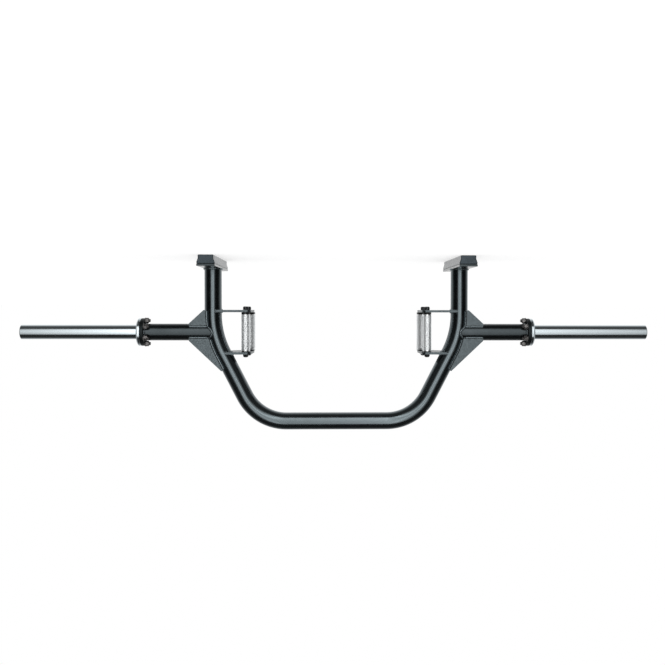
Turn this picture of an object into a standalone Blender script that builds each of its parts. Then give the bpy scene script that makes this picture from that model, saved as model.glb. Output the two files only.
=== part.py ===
"""Open-ended trap bar, standing on the feet at the open ends of its frame.

Metres, +Z up. The frame lies in the XZ plane with its feet on z = 0 and its closed
end, the crown, at the top. The plate sleeves run along X. The grips run along Z:
the thin grips lie in the frame's plane and the thick grips behind them, at +Y.
"""
import math

import bmesh
import bpy
from mathutils import Matrix, Vector

# Clearances
TOUCH_GAP = 0.0003              # between pieces that rest against each other
THREAD_GAP = 0.0003             # between a bolt and its hole, on the radius
FLANGE_HOLE_PLAY = 0.0005       # between a stud and the arm flange's hole, on the radius

# Bent frame tube
FRAME_OD = 0.060
FRAME_WALL = 0.004
LEG_SPACING = 0.862             # between the centre lines of the legs
SLEEVE_HEIGHT = 0.258           # sleeve axis above the floor
CROWN_RISE = 0.312              # crown's centre line above the sleeve axis
LEG_BEND_RISE = 0.010           # where leg and slant would meet, above the sleeve axis
CROWN_CORNER_SPACING = 0.552    # between the points where slants and crown would meet
LEG_BEND_RADIUS = 0.300
CROWN_BEND_RADIUS = 0.164
LEG_BEND_STEPS = 4
CROWN_BEND_STEPS = 9
FRAME_BEVEL_RESOLUTION = 8       # 20 sides

# Feet
FOOT_LENGTH = 0.420
FOOT_PLATE_WIDTH = 0.060
FOOT_PLATE_THICKNESS = 0.007
PAD_HEIGHT = 0.0295
PAD_FLOOR_WIDTH = 0.051
PAD_TOP_WIDTH = 0.0595
PAD_FLARE_START = 0.012         # heights between which the pad's sides flare
PAD_FLARE_END = 0.024
PAD_EDGE_ROUND = 0.0025
PAD_EDGE_STEPS = 3
PAD_SCREW_END_MARGIN = 0.035    # outer screws from the pad's ends
PAD_SCREW_LEG_OFFSET = 0.070    # inner screws from the leg's centre line
PAD_SCREW_RADIUS = 0.004
PAD_SCREW_GRIP = 0.009          # pad left between the counterbore and the foot plate
PAD_SCREW_THREAD = 0.005        # depth of the screw holes in the foot plate
PAD_COUNTERBORE_RADIUS = 0.009

# Outrigger arms and the bolted flanges
ARM_OD = 0.0585
ARM_WALL = 0.004
ARM_EDGE_ROUND = 0.0005
ARM_FLANGE_FACE = 0.667         # inner face of the arm flange, from the middle
FLANGE_RADIUS = 0.048
ARM_FLANGE_THICKNESS = 0.012
ARM_FLANGE_BORE = 0.0125
SLEEVE_FLANGE_THICKNESS = 0.012
SLEEVE_FLANGE_CHAMFER = 0.004
FLANGE_EDGE_ROUND = 0.001
STUD_CIRCLE_RADIUS = 0.040
STUD_COUNT = 6
STUD_RADIUS = 0.006
STUD_DEPTH = 0.008              # thread held by the sleeve flange
STUD_STAND_OUT = 0.0055         # thread past the nut
STUD_TIP_CHAMFER = 0.001
STUD_WASHER_RADIUS = 0.0105
STUD_WASHER_THICKNESS = 0.0022
STUD_NUT_FLATS = 0.0165
STUD_NUT_HEIGHT = 0.0105

# Plate sleeves
SLEEVE_OD = 0.050
SLEEVE_WALL = 0.005
SLEEVE_END = 1.094              # outer end of the sleeve, from the middle
SLEEVE_END_ROUND = 0.0025
PLUG_LENGTH = 0.012
PLUG_BORE = 0.004
PLUG_RECESS = 0.0015

# Gussets between arm and leg
GUSSET_INSET = 0.0065           # outer face of a gusset inside the arm's front or back
GUSSET_THICKNESS = 0.006
GUSSET_ARM_LENGTH = 0.052       # toe on the arm, past the leg's outer side
GUSSET_FOOT_DROP = 0.077        # toe on the leg, below the sleeve axis
GUSSET_CROWN_RISE = 0.122       # toe on the slant, above the sleeve axis
GUSSET_NOSE = 0.001             # how far a toe's corner clears the tube

# Handle plates
GRIP_SPACING = 0.6365           # between the grip axes of the two sides
HANDLE_PLATE_THICKNESS = 0.008
HANDLE_PLATE_SPAN = 0.139       # between the inner faces of a pair of plates
HANDLE_PLATE_INSET = 0.001      # front edge behind the frame tube's front
HANDLE_PLATE_BACK_MARGIN = 0.020
HANDLE_PLATE_END_MARGIN = 0.0205
HANDLE_PLATE_LAP = 0.008        # how far past a leg's centre line a plate begins
HANDLE_PLATE_CHAMFER = 0.032
HANDLE_PLATE_ROUND = 0.016
ROUND_STEPS = 6

# Grips
GRIP_PITCH = 0.128              # thick grip's axis behind the thin grip's
THIN_GRIP_OD = 0.030
THICK_GRIP_OD = 0.048
GRIP_WALL = 0.0035
GRIP_EDGE_ROUND = 0.001
BUSH_LENGTH = 0.018
CROWN_BUSH_COLLAR = 0.002
FOOT_BUSH_COLLAR = 0.007
FOOT_BUSH_COLLAR_INSET = 0.0005 # how far the thick collar stays inside the grip's rim
GRIP_BOLT_RADIUS = 0.006
GRIP_BOLT_HEAD_RADIUS = 0.009
GRIP_BOLT_HEAD_HEIGHT = 0.012
GRIP_BOLT_HEAD_RIM = 0.001
GRIP_BOLT_SOCKET_FLATS = 0.010
GRIP_BOLT_SOCKET_DEPTH = 0.006
GRIP_NUT_FLATS = 0.018
GRIP_NUT_HEIGHT = 0.0095
GRIP_BOLT_END = 0.001           # thread past the lock nut
BUSH_PLAY = 0.0003              # between a bush and its bolt, on the radius

# Faces round a turned piece
SLEEVE_SIDES = 28
FLANGE_SIDES = 32
ARM_SIDES = 24
GRIP_SIDES = 20
HOLE_SIDES = 12

FRAME_RADIUS = FRAME_OD / 2
ARM_RADIUS = ARM_OD / 2
LEG_X = LEG_SPACING / 2
GRIP_X = GRIP_SPACING / 2
LEG_END = PAD_HEIGHT + FOOT_PLATE_THICKNESS + 2 * TOUCH_GAP
ARM_FLANGE_OUTER = ARM_FLANGE_FACE + ARM_FLANGE_THICKNESS
SLEEVE_FLANGE_INNER = ARM_FLANGE_OUTER + TOUCH_GAP
GUSSET_FRONT = ARM_RADIUS - GUSSET_INSET
HANDLE_PLATE_FRONT = FRAME_RADIUS - HANDLE_PLATE_INSET
SIDES = (("left", -1), ("right", 1))


# Materials

def paint(name, colour, roughness, metallic):
    """A Principled material with one colour."""
    material = bpy.data.materials.new(name)
    material.use_nodes = True
    shader = material.node_tree.nodes["Principled BSDF"]
    shader.inputs["Base Color"].default_value = (*colour, 1.0)
    shader.inputs["Roughness"].default_value = roughness
    shader.inputs["Metallic"].default_value = metallic
    material.diffuse_color = (*colour, 1.0)
    return material


FINISHES = {
    "satin_black_coat": ((0.022, 0.025, 0.027), 0.42, 0.0),
    "hard_chrome": ((0.72, 0.74, 0.76), 0.12, 1.0),
    "black_oxide": ((0.030, 0.030, 0.032), 0.45, 0.8),
    "black_nylon": ((0.018, 0.018, 0.019), 0.55, 0.0),
    "knurled_chrome": ((0.66, 0.68, 0.70), 0.30, 1.0),
    "foot_rubber": ((0.055, 0.062, 0.066), 0.60, 0.0),
}


def finish(obj, name):
    """Give a piece its own copy of a finish, and round shading."""
    colour, roughness, metallic = FINISHES[name]
    obj.data.materials.clear()
    obj.data.materials.append(paint(f"{name}_{obj.name}", colour, roughness, metallic))
    obj.data.shade_smooth()
    obj.data.set_sharp_from_angle(angle=math.radians(35))
    return obj


# Shapes

def add_object(name, data):
    """Put data in the scene under a name."""
    obj = bpy.data.objects.new(name, data)
    bpy.context.scene.collection.objects.link(obj)
    return obj


def mesh_from(bm, name):
    """Close a bmesh into a mesh with its faces pointing out."""
    bmesh.ops.recalc_face_normals(bm, faces=bm.faces)
    mesh = bpy.data.meshes.new(name)
    bm.to_mesh(mesh)
    bm.free()
    return mesh


def turned_mesh(name, profile, sides):
    """Spin a closed (radius, height) outline about Z."""
    bm = bmesh.new()
    verts = [bm.verts.new((radius, 0, height)) for radius, height in profile]
    edges = [bm.edges.new((verts[i - 1], verts[i])) for i in range(len(verts))]
    bmesh.ops.spin(
        bm, geom=verts + edges, cent=(0, 0, 0), axis=(0, 0, 1),
        angle=math.tau, steps=sides, use_merge=True, use_duplicate=False,
    )
    bmesh.ops.remove_doubles(bm, verts=bm.verts, dist=1e-6)
    return mesh_from(bm, name)


def rod_mesh(name, radius, bottom, top, sides=HOLE_SIDES):
    """A round bar."""
    return turned_mesh(name, [(0, bottom), (radius, bottom), (radius, top), (0, top)], sides)


def ring_mesh(name, outer, inner, bottom, top, sides):
    """A flat ring."""
    return turned_mesh(name, [(outer, bottom), (outer, top), (inner, top), (inner, bottom)], sides)


def tube_mesh(name, outer, inner, bottom, top, edge, sides):
    """A tube whose outer rims are chamfered by edge."""
    profile = [
        (outer - edge, bottom), (outer, bottom + edge), (outer, top - edge),
        (outer - edge, top), (inner, top), (inner, bottom),
    ]
    return turned_mesh(name, profile, sides)


def prism_mesh(name, outline, bottom, top):
    """Extrude a closed (x, y) outline along Z."""
    bm = bmesh.new()
    face = bm.faces.new([bm.verts.new((x, y, bottom)) for x, y in outline])
    grown = bmesh.ops.extrude_face_region(bm, geom=[face])
    moved = [item for item in grown["geom"] if isinstance(item, bmesh.types.BMVert)]
    bmesh.ops.translate(bm, verts=moved, vec=(0, 0, top - bottom))
    return mesh_from(bm, name)


def hexagon(flats):
    """Corners of a hexagon with the given width across its flats."""
    corner = flats / 2 / math.cos(math.pi / 6)
    return [
        (corner * math.cos(math.pi / 3 * i), corner * math.sin(math.pi / 3 * i))
        for i in range(6)
    ]


def rounded(outline, radii, steps=ROUND_STEPS):
    """Round the corners of an (x, y) outline, each by its own radius."""
    result = []
    count = len(outline)
    for i, radius in enumerate(radii):
        corner = Vector(outline[i])
        if not radius:
            result.append(tuple(corner))
            continue
        before = (Vector(outline[i - 1]) - corner).normalized()
        after = (Vector(outline[(i + 1) % count]) - corner).normalized()
        half = before.angle(after) / 2
        centre = corner + (before + after).normalized() * (radius / math.sin(half))
        start = corner + before * (radius / math.tan(half)) - centre
        end = corner + after * (radius / math.tan(half)) - centre
        turn = start.angle_signed(end)
        for step in range(steps + 1):
            point = centre + Matrix.Rotation(-turn * step / steps, 2) @ start
            result.append(tuple(point))
    return result


def as_cutter(obj):
    """Keep an object out of the model: it only cuts."""
    obj.hide_render = True
    obj.display_type = "WIRE"
    return obj


def combine(obj, other, operation):
    """Boolean of one object with another."""
    modifier = obj.modifiers.new(f"with_{other.name}", "BOOLEAN")
    modifier.operation = operation
    modifier.solver = "EXACT"
    modifier.object = other
    return obj


def cut(obj, *cutters):
    """Take each cutter's shape out of an object."""
    for cutter in cutters:
        combine(obj, cutter, "DIFFERENCE")
    return obj


def settle(obj):
    """The mesh of an object with its modifiers taken in; the object goes."""
    bpy.context.view_layer.update()
    graph = bpy.context.evaluated_depsgraph_get()
    mesh = bpy.data.meshes.new_from_object(obj.evaluated_get(graph))
    bpy.data.objects.remove(obj)
    return mesh


def repeated_mesh(name, mesh, matrices):
    """Copies of one mesh side by side in a single mesh."""
    bm = bmesh.new()
    for matrix in matrices:
        piece = bmesh.new()
        piece.from_mesh(mesh)
        bmesh.ops.transform(piece, matrix=matrix, verts=piece.verts)
        moved = bpy.data.meshes.new("copy")
        piece.to_mesh(moved)
        piece.free()
        bm.from_mesh(moved)
        bpy.data.meshes.remove(moved)
    joined = bpy.data.meshes.new(name)
    bm.to_mesh(joined)
    bm.free()
    return joined


def hex_nut_mesh(name, flats, height, hole_radius):
    """A hexagon nut standing on z = 0 with a plain hole."""
    nut = add_object(name, prism_mesh(name, hexagon(flats), 0, height))
    drill = add_object(f"{name}_drill", rod_mesh(name, hole_radius, -height, 2 * height))
    mesh = settle(cut(nut, drill))
    bpy.data.objects.remove(drill)
    return mesh


def face_along_x(obj, side):
    """Turn a piece modelled along Z so that it points outwards along X."""
    obj.rotation_euler = (0, side * math.pi / 2, 0)
    return obj


# Frame

def frame_path():
    """Centre line of the frame tube, from the left foot over the crown to the right foot."""
    corner_x = CROWN_CORNER_SPACING / 2
    corners = [
        (-LEG_X, LEG_END),
        (-LEG_X, SLEEVE_HEIGHT + LEG_BEND_RISE),
        (-corner_x, SLEEVE_HEIGHT + CROWN_RISE),
        (corner_x, SLEEVE_HEIGHT + CROWN_RISE),
        (LEG_X, SLEEVE_HEIGHT + LEG_BEND_RISE),
        (LEG_X, LEG_END),
    ]
    ends = [corners[0], corners[-1]]
    left_leg = rounded([ends[0], corners[1], corners[2]], [0, LEG_BEND_RADIUS, 0], LEG_BEND_STEPS)[1:-1]
    left_crown = rounded(
        [corners[1], corners[2], corners[3]], [0, CROWN_BEND_RADIUS, 0], CROWN_BEND_STEPS)[1:-1]
    left = left_leg + left_crown
    right = [(-x, z) for x, z in reversed(left)]
    return [ends[0]] + left + right + [ends[1]]


def leg_centre(height):
    """Distance of a leg's centre line from the middle, at a height."""
    path = frame_path()
    for (x0, z0), (x1, z1) in zip(path, path[1:]):
        if z0 <= height <= z1:
            return -(x0 + (x1 - x0) * (height - z0) / (z1 - z0))
    raise ValueError("no leg at this height")


def pipe_curve(name, points, radius, capped):
    """A round bar or an open pipe along points in the XZ plane."""
    curve = bpy.data.curves.new(name, "CURVE")
    curve.dimensions = "3D"
    curve.bevel_depth = radius
    curve.bevel_resolution = FRAME_BEVEL_RESOLUTION
    curve.use_fill_caps = capped
    spline = curve.splines.new("POLY")
    spline.points.add(len(points) - 1)
    for point, (x, z) in zip(spline.points, points):
        point.co = (x, 0, z, 1)
    return add_object(name, curve)


def frame_tube():
    """The bent tube, its wall grown inwards and its feet ends open."""
    skin = pipe_curve("frame_skin", frame_path(), FRAME_RADIUS, capped=False)
    tube = add_object("main_frame_tube", settle(skin))
    wall = tube.modifiers.new("wall", "SOLIDIFY")
    wall.thickness = FRAME_WALL
    wall.offset = -1
    wall.use_even_offset = True
    return finish(tube, "satin_black_coat")


def frame_cutter():
    """The frame's outside, a touch gap larger, to cut what is welded to it."""
    skin = pipe_curve("frame_cutter_skin", frame_path(), FRAME_RADIUS + TOUCH_GAP, capped=True)
    return as_cutter(add_object("frame_cutter", settle(skin)))


# Arms, flanges and sleeves

def arm_cutter(side, name):
    """The arm's outside, a touch gap larger, to cut the gussets."""
    start = LEG_X - FRAME_RADIUS
    length = ARM_FLANGE_FACE - start
    mesh = rod_mesh("arm_cutter", ARM_RADIUS + TOUCH_GAP, 0, length, ARM_SIDES)
    rod = add_object(f"arm_cutter_{name}", mesh)
    rod.location = (side * start, 0, SLEEVE_HEIGHT)
    return as_cutter(face_along_x(rod, side))


def arm_tube(side, name, cutter):
    """Arm from the leg's side to the flange, its inner end cut to the leg."""
    start = leg_centre(SLEEVE_HEIGHT)
    length = ARM_FLANGE_FACE - TOUCH_GAP - start
    mesh = tube_mesh("arm", ARM_RADIUS, ARM_RADIUS - ARM_WALL, 0, length, ARM_EDGE_ROUND, ARM_SIDES)
    arm = add_object(f"arm_tube_{name}", mesh)
    arm.location = (side * start, 0, SLEEVE_HEIGHT)
    face_along_x(arm, side)
    cut(arm, cutter)
    return finish(arm, "satin_black_coat")


def stud_angles():
    """Angles of the studs round the sleeve axis, one of them straight up."""
    return [math.tau * i / STUD_COUNT for i in range(STUD_COUNT)]


def drilled_flange(name, profile, hole_radius, hole_bottom, hole_top):
    """A turned flange, its axis along Z, with a circle of holes."""
    places = [
        Matrix.Rotation(angle, 4, "Z") @ Matrix.Translation((STUD_CIRCLE_RADIUS, 0, 0))
        for angle in stud_angles()
    ]
    flange = add_object(name, turned_mesh(name, profile, FLANGE_SIDES))
    drill = rod_mesh("stud_drill", hole_radius, hole_bottom, hole_top)
    drills = add_object("stud_drills", repeated_mesh("stud_drills", drill, places))
    mesh = settle(cut(flange, drills))
    bpy.data.objects.remove(drills)
    return mesh


def flange_profile(bore, thickness, back_edge, front_edge):
    """Outline of a flange with a chamfered rim, its back at z = 0."""
    return [
        (bore, 0), (FLANGE_RADIUS - back_edge, 0), (FLANGE_RADIUS, back_edge),
        (FLANGE_RADIUS, thickness - front_edge), (FLANGE_RADIUS - front_edge, thickness),
        (bore, thickness),
    ]


def place_on_sleeve_axis(name, mesh, side, distance, look):
    """Put a turned piece on the sleeve axis, pointing outwards."""
    obj = add_object(name, mesh)
    obj.location = (side * distance, 0, SLEEVE_HEIGHT)
    face_along_x(obj, side)
    return finish(obj, look)


def flanges(side, name):
    """The arm's flange and the sleeve's flange bolted to it."""
    arm_profile = flange_profile(
        ARM_FLANGE_BORE, ARM_FLANGE_THICKNESS, FLANGE_EDGE_ROUND, FLANGE_EDGE_ROUND)
    arm_mesh = drilled_flange(
        "arm_flange", arm_profile, STUD_RADIUS + FLANGE_HOLE_PLAY,
        -ARM_FLANGE_THICKNESS, 2 * ARM_FLANGE_THICKNESS)
    place_on_sleeve_axis(f"arm_flange_{name}", arm_mesh, side, ARM_FLANGE_FACE, "satin_black_coat")

    sleeve_profile = flange_profile(
        SLEEVE_OD / 2 + TOUCH_GAP, SLEEVE_FLANGE_THICKNESS, FLANGE_EDGE_ROUND, SLEEVE_FLANGE_CHAMFER)
    sleeve_mesh = drilled_flange(
        "sleeve_flange", sleeve_profile, STUD_RADIUS + THREAD_GAP,
        -SLEEVE_FLANGE_THICKNESS, STUD_DEPTH + TOUCH_GAP)
    place_on_sleeve_axis(f"sleeve_flange_{name}", sleeve_mesh, side, SLEEVE_FLANGE_INNER, "hard_chrome")


def stud_set_mesh():
    """One stud with its washer and nut, which stand above the arm flange's inner face at z = 0."""
    washer_base = TOUCH_GAP
    nut_base = washer_base + STUD_WASHER_THICKNESS
    nut_top = nut_base + STUD_NUT_HEIGHT
    tip = nut_top + STUD_STAND_OUT
    root = -(ARM_FLANGE_THICKNESS + TOUCH_GAP + STUD_DEPTH)
    profile = [
        (0, root), (STUD_RADIUS, root), (STUD_RADIUS, washer_base),
        (STUD_WASHER_RADIUS, washer_base), (STUD_WASHER_RADIUS, nut_base),
        (STUD_RADIUS, nut_base), (STUD_RADIUS, tip - STUD_TIP_CHAMFER),
        (STUD_RADIUS - STUD_TIP_CHAMFER, tip), (0, tip),
    ]
    stud = add_object("stud", turned_mesh("stud", profile, HOLE_SIDES))
    inside_washer = washer_base + STUD_WASHER_THICKNESS / 2
    nut = add_object("nut", prism_mesh("nut", hexagon(STUD_NUT_FLATS), inside_washer, nut_top))
    mesh = settle(combine(stud, nut, "UNION"))
    bpy.data.objects.remove(nut)
    return mesh


def flange_studs(side, name):
    """Studs from the sleeve flange through the arm flange, each with its washer and nut."""
    mesh = stud_set_mesh()
    for number, angle in enumerate(stud_angles(), start=1):
        stud = add_object(f"flange_stud_{number}_{name}", mesh.copy())
        out = Matrix.Rotation(angle, 3, "X") @ Vector((0, 0, STUD_CIRCLE_RADIUS))
        stud.location = Vector((side * ARM_FLANGE_FACE, 0, SLEEVE_HEIGHT)) + out
        face_along_x(stud, -side)
        finish(stud, "black_oxide")


def sleeve(side, name):
    """Plate sleeve through its flange, with a plug in the outer end."""
    radius = SLEEVE_OD / 2
    bore = radius - SLEEVE_WALL
    length = SLEEVE_END - SLEEVE_FLANGE_INNER
    arc_middle = SLEEVE_END_ROUND * (1 - math.cos(math.pi / 4))
    profile = [
        (radius, 0), (radius, length - SLEEVE_END_ROUND), (radius - arc_middle, length - arc_middle),
        (radius - SLEEVE_END_ROUND, length), (bore, length), (bore, 0),
    ]
    mesh = turned_mesh("sleeve", profile, SLEEVE_SIDES)
    place_on_sleeve_axis(f"sleeve_tube_{name}", mesh, side, SLEEVE_FLANGE_INNER, "hard_chrome")
    plug = ring_mesh(
        "plug", bore - TOUCH_GAP, PLUG_BORE,
        length - PLUG_RECESS - PLUG_LENGTH, length - PLUG_RECESS, SLEEVE_SIDES)
    place_on_sleeve_axis(f"sleeve_end_plug_{name}", plug, side, SLEEVE_FLANGE_INNER, "hard_chrome")


# Gussets

def slant_normal():
    """Unit vector square to the right slant, pointing outwards."""
    run = LEG_X - CROWN_CORNER_SPACING / 2
    rise = CROWN_RISE - LEG_BEND_RISE
    return Vector((rise, run)).normalized()


def gusset_outlines():
    """Outlines (x, height above the sleeve axis) of the two gussets of a right side."""
    leg_x = leg_centre(SLEEVE_HEIGHT)
    leg_side = LEG_X + FRAME_RADIUS
    reach = leg_side + GUSSET_ARM_LENGTH
    nose = ARM_RADIUS + GUSSET_NOSE
    foot = [
        (leg_x, 0), (reach, 0), (reach, -nose),
        (leg_side + GUSSET_NOSE, -GUSSET_FOOT_DROP), (LEG_X, -GUSSET_FOOT_DROP),
    ]
    centre = Vector((leg_centre(SLEEVE_HEIGHT + GUSSET_CROWN_RISE), GUSSET_CROWN_RISE))
    toe = centre + slant_normal() * (FRAME_RADIUS + GUSSET_NOSE)
    crown = [(leg_x, 0), (reach, 0), (reach, nose), tuple(toe), tuple(centre)]
    return {"foot": foot, "crown": crown}


def gussets(side, name, cutters):
    """Front and rear plates of both corners, cut to the tubes that they join."""
    layers = {"front": -GUSSET_FRONT, "rear": GUSSET_FRONT - GUSSET_THICKNESS}
    for corner, outline in gusset_outlines().items():
        for layer, start in layers.items():
            flat = prism_mesh("gusset", [(side * x, z) for x, z in outline], 0, GUSSET_THICKNESS)
            plate = add_object(f"gusset_{corner}_{layer}_{name}", flat)
            plate.rotation_euler = (math.pi / 2, 0, 0)
            plate.location = (0, start + GUSSET_THICKNESS, SLEEVE_HEIGHT)
            cut(plate, *cutters)
            finish(plate, "satin_black_coat")


# Handle plates and grips

def handle_plate_heights():
    """Bottom height of each handle plate."""
    half = HANDLE_PLATE_SPAN / 2
    return {
        "foot": SLEEVE_HEIGHT - half - HANDLE_PLATE_THICKNESS,
        "crown": SLEEVE_HEIGHT + half,
    }


def handle_plates(side, name, cutter):
    """Plates that hold the grips, cut to the leg and drilled for the grip bolts."""
    end = GRIP_X - HANDLE_PLATE_END_MARGIN
    back = GRIP_PITCH + HANDLE_PLATE_BACK_MARGIN
    for level, bottom in handle_plate_heights().items():
        start = leg_centre(bottom + HANDLE_PLATE_THICKNESS / 2) - HANDLE_PLATE_LAP
        corners = [
            (start, -HANDLE_PLATE_FRONT), (start, back - HANDLE_PLATE_CHAMFER),
            (start - HANDLE_PLATE_CHAMFER, back), (end, back), (end, -HANDLE_PLATE_FRONT),
        ]
        outline = rounded(corners, [0, 0, 0, HANDLE_PLATE_ROUND, HANDLE_PLATE_ROUND])
        mesh = prism_mesh("handle_plate", [(side * x, y) for x, y in outline], 0, HANDLE_PLATE_THICKNESS)
        plate = add_object(f"handle_plate_{level}_{name}", mesh)
        plate.location = (0, 0, bottom)
        drills = []
        for grip, depth in grip_depths().items():
            drill = add_object(
                f"{grip}_drill_{level}_{name}",
                rod_mesh(
                    "drill", GRIP_BOLT_RADIUS + THREAD_GAP,
                    -HANDLE_PLATE_THICKNESS, 2 * HANDLE_PLATE_THICKNESS))
            drill.location = (side * GRIP_X, depth, bottom)
            drills.append(as_cutter(drill))
        cut(plate, cutter, *drills)
        finish(plate, "satin_black_coat")


def grip_depths():
    """Distance of each grip's axis behind the frame's plane."""
    return {"thin_grip": 0.0, "thick_grip": GRIP_PITCH}


def grip_span():
    """Bottom and top height of the grip tubes, between the collars of their bushes."""
    plate_faces = SLEEVE_HEIGHT - HANDLE_PLATE_SPAN / 2, SLEEVE_HEIGHT + HANDLE_PLATE_SPAN / 2
    bottom = plate_faces[0] + FOOT_BUSH_COLLAR + 2 * TOUCH_GAP
    top = plate_faces[1] - CROWN_BUSH_COLLAR - 2 * TOUCH_GAP
    return bottom, top


def place_on_grip_axis(name, mesh, side, depth, height, look):
    """Put a turned piece on a grip's axis."""
    obj = add_object(name, mesh)
    obj.location = (side * GRIP_X, depth, height)
    return finish(obj, look)


def bush_mesh(radius, collar_radius, collar):
    """A flanged bush: its collar from z = 0 down, its barrel from z = 0 up."""
    bore = GRIP_BOLT_RADIUS + BUSH_PLAY
    profile = [
        (bore, -collar), (collar_radius, -collar), (collar_radius, 0),
        (radius, 0), (radius, BUSH_LENGTH), (bore, BUSH_LENGTH),
    ]
    return turned_mesh("bush", profile, GRIP_SIDES)


def grip_bolt_mesh(length):
    """A socket head bolt: its head below z = 0, its shank above."""
    head = GRIP_BOLT_HEAD_RADIUS
    profile = [
        (0, -GRIP_BOLT_HEAD_HEIGHT), (head - GRIP_BOLT_HEAD_RIM, -GRIP_BOLT_HEAD_HEIGHT),
        (head, -GRIP_BOLT_HEAD_HEIGHT + GRIP_BOLT_HEAD_RIM), (head, 0),
        (GRIP_BOLT_RADIUS, 0), (GRIP_BOLT_RADIUS, length), (0, length),
    ]
    bolt = add_object("bolt", turned_mesh("bolt", profile, HOLE_SIDES))
    socket = add_object("socket", prism_mesh(
        "socket", hexagon(GRIP_BOLT_SOCKET_FLATS),
        -2 * GRIP_BOLT_HEAD_HEIGHT, -GRIP_BOLT_HEAD_HEIGHT + GRIP_BOLT_SOCKET_DEPTH))
    mesh = settle(cut(bolt, socket))
    bpy.data.objects.remove(socket)
    return mesh


def grip_bushes(side, name, grip, depth, radius):
    """The bushes in both ends of a grip, their collars against the handle plates."""
    bottom, top = grip_span()
    barrel = radius - GRIP_WALL - TOUCH_GAP
    foot_bush = bush_mesh(barrel, radius - FOOT_BUSH_COLLAR_INSET, FOOT_BUSH_COLLAR)
    place_on_grip_axis(
        f"{grip}_foot_bush_{name}", foot_bush, side, depth, bottom - TOUCH_GAP, "black_nylon")
    crown_bush = bush_mesh(barrel, radius - GRIP_EDGE_ROUND, CROWN_BUSH_COLLAR)
    crown_bush.transform(Matrix.Rotation(math.pi, 4, "X"))
    place_on_grip_axis(
        f"{grip}_crown_bush_{name}", crown_bush, side, depth, top + TOUCH_GAP, "black_nylon")


def grips(side, name):
    """Both grips of a side, each on its bolt."""
    bottom, top = grip_span()
    radii = {"thin_grip": THIN_GRIP_OD / 2, "thick_grip": THICK_GRIP_OD / 2}
    plate_bottoms = handle_plate_heights()
    head_seat = plate_bottoms["foot"] - TOUCH_GAP
    nut_seat = plate_bottoms["crown"] + HANDLE_PLATE_THICKNESS + TOUCH_GAP
    bolt_length = nut_seat + GRIP_NUT_HEIGHT + GRIP_BOLT_END - head_seat
    for grip, depth in grip_depths().items():
        radius = radii[grip]
        tube = tube_mesh("grip", radius, radius - GRIP_WALL, 0, top - bottom, GRIP_EDGE_ROUND, GRIP_SIDES)
        place_on_grip_axis(f"{grip}_{name}", tube, side, depth, bottom, "knurled_chrome")
        grip_bushes(side, name, grip, depth, radius)
        bolt = grip_bolt_mesh(bolt_length)
        place_on_grip_axis(f"{grip}_bolt_{name}", bolt, side, depth, head_seat, "black_oxide")
        nut = hex_nut_mesh("nut", GRIP_NUT_FLATS, GRIP_NUT_HEIGHT, GRIP_BOLT_RADIUS + THREAD_GAP)
        place_on_grip_axis(f"{grip}_nut_{name}", nut, side, depth, nut_seat, "black_oxide")


# Feet

def foot_drills(side, name):
    """Cutter for the pad screws' counterbores and the holes above them."""
    ledge = PAD_HEIGHT - PAD_SCREW_GRIP
    top = PAD_HEIGHT + TOUCH_GAP + PAD_SCREW_THREAD
    hole = PAD_SCREW_RADIUS + THREAD_GAP
    profile = [
        (0, -PAD_HEIGHT), (PAD_COUNTERBORE_RADIUS, -PAD_HEIGHT), (PAD_COUNTERBORE_RADIUS, ledge),
        (hole, ledge), (hole, top), (0, top),
    ]
    end_offset = FOOT_LENGTH / 2 - PAD_SCREW_END_MARGIN
    offsets = (-end_offset, -PAD_SCREW_LEG_OFFSET, PAD_SCREW_LEG_OFFSET, end_offset)
    places = [Matrix.Translation((0, offset, 0)) for offset in offsets]
    drill = turned_mesh("drill", profile, HOLE_SIDES)
    drills = add_object(f"foot_drills_{name}", repeated_mesh("foot_drills", drill, places))
    drills.location = (side * LEG_X, 0, 0)
    return as_cutter(drills)


def foot_plate(side, name, drills):
    """Steel plate on the leg's end."""
    half_width = FOOT_PLATE_WIDTH / 2
    half_length = FOOT_LENGTH / 2
    outline = [
        (-half_width, -half_length), (half_width, -half_length),
        (half_width, half_length), (-half_width, half_length),
    ]
    plate = add_object(f"foot_plate_{name}", prism_mesh("foot_plate", outline, 0, FOOT_PLATE_THICKNESS))
    plate.location = (side * LEG_X, 0, PAD_HEIGHT + TOUCH_GAP)
    finish(cut(plate, drills), "satin_black_coat")


def foot_pad(side, name, drills):
    """Pad under the foot plate: its sides flare to the plate's width halfway up."""
    floor_half = PAD_FLOOR_WIDTH / 2
    top_half = PAD_TOP_WIDTH / 2
    corners = [
        (-floor_half, 0), (floor_half, 0), (floor_half, PAD_FLARE_START), (top_half, PAD_FLARE_END),
        (top_half, PAD_HEIGHT), (-top_half, PAD_HEIGHT), (-top_half, PAD_FLARE_END),
        (-floor_half, PAD_FLARE_START),
    ]
    section = rounded(corners, [PAD_EDGE_ROUND, PAD_EDGE_ROUND] + 6 * [0], PAD_EDGE_STEPS)
    pad = add_object(f"foot_pad_{name}", prism_mesh("foot_pad", section, 0, FOOT_LENGTH))
    pad.rotation_euler = (math.pi / 2, 0, 0)
    pad.location = (side * LEG_X, FOOT_LENGTH / 2, 0)
    finish(cut(pad, drills), "foot_rubber")


def clear_scene():
    """Remove whatever the file holds."""
    for obj in list(bpy.data.objects):
        bpy.data.objects.remove(obj)


def build():
    clear_scene()
    frame_tube()
    tube_cutter = frame_cutter()
    for name, side in SIDES:
        arm_tube(side, name, tube_cutter)
        gussets(side, name, [tube_cutter, arm_cutter(side, name)])
        flanges(side, name)
        flange_studs(side, name)
        sleeve(side, name)
        handle_plates(side, name, tube_cutter)
        grips(side, name)
        drills = foot_drills(side, name)
        foot_plate(side, name, drills)
        foot_pad(side, name, drills)


build()
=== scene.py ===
import math

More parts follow.
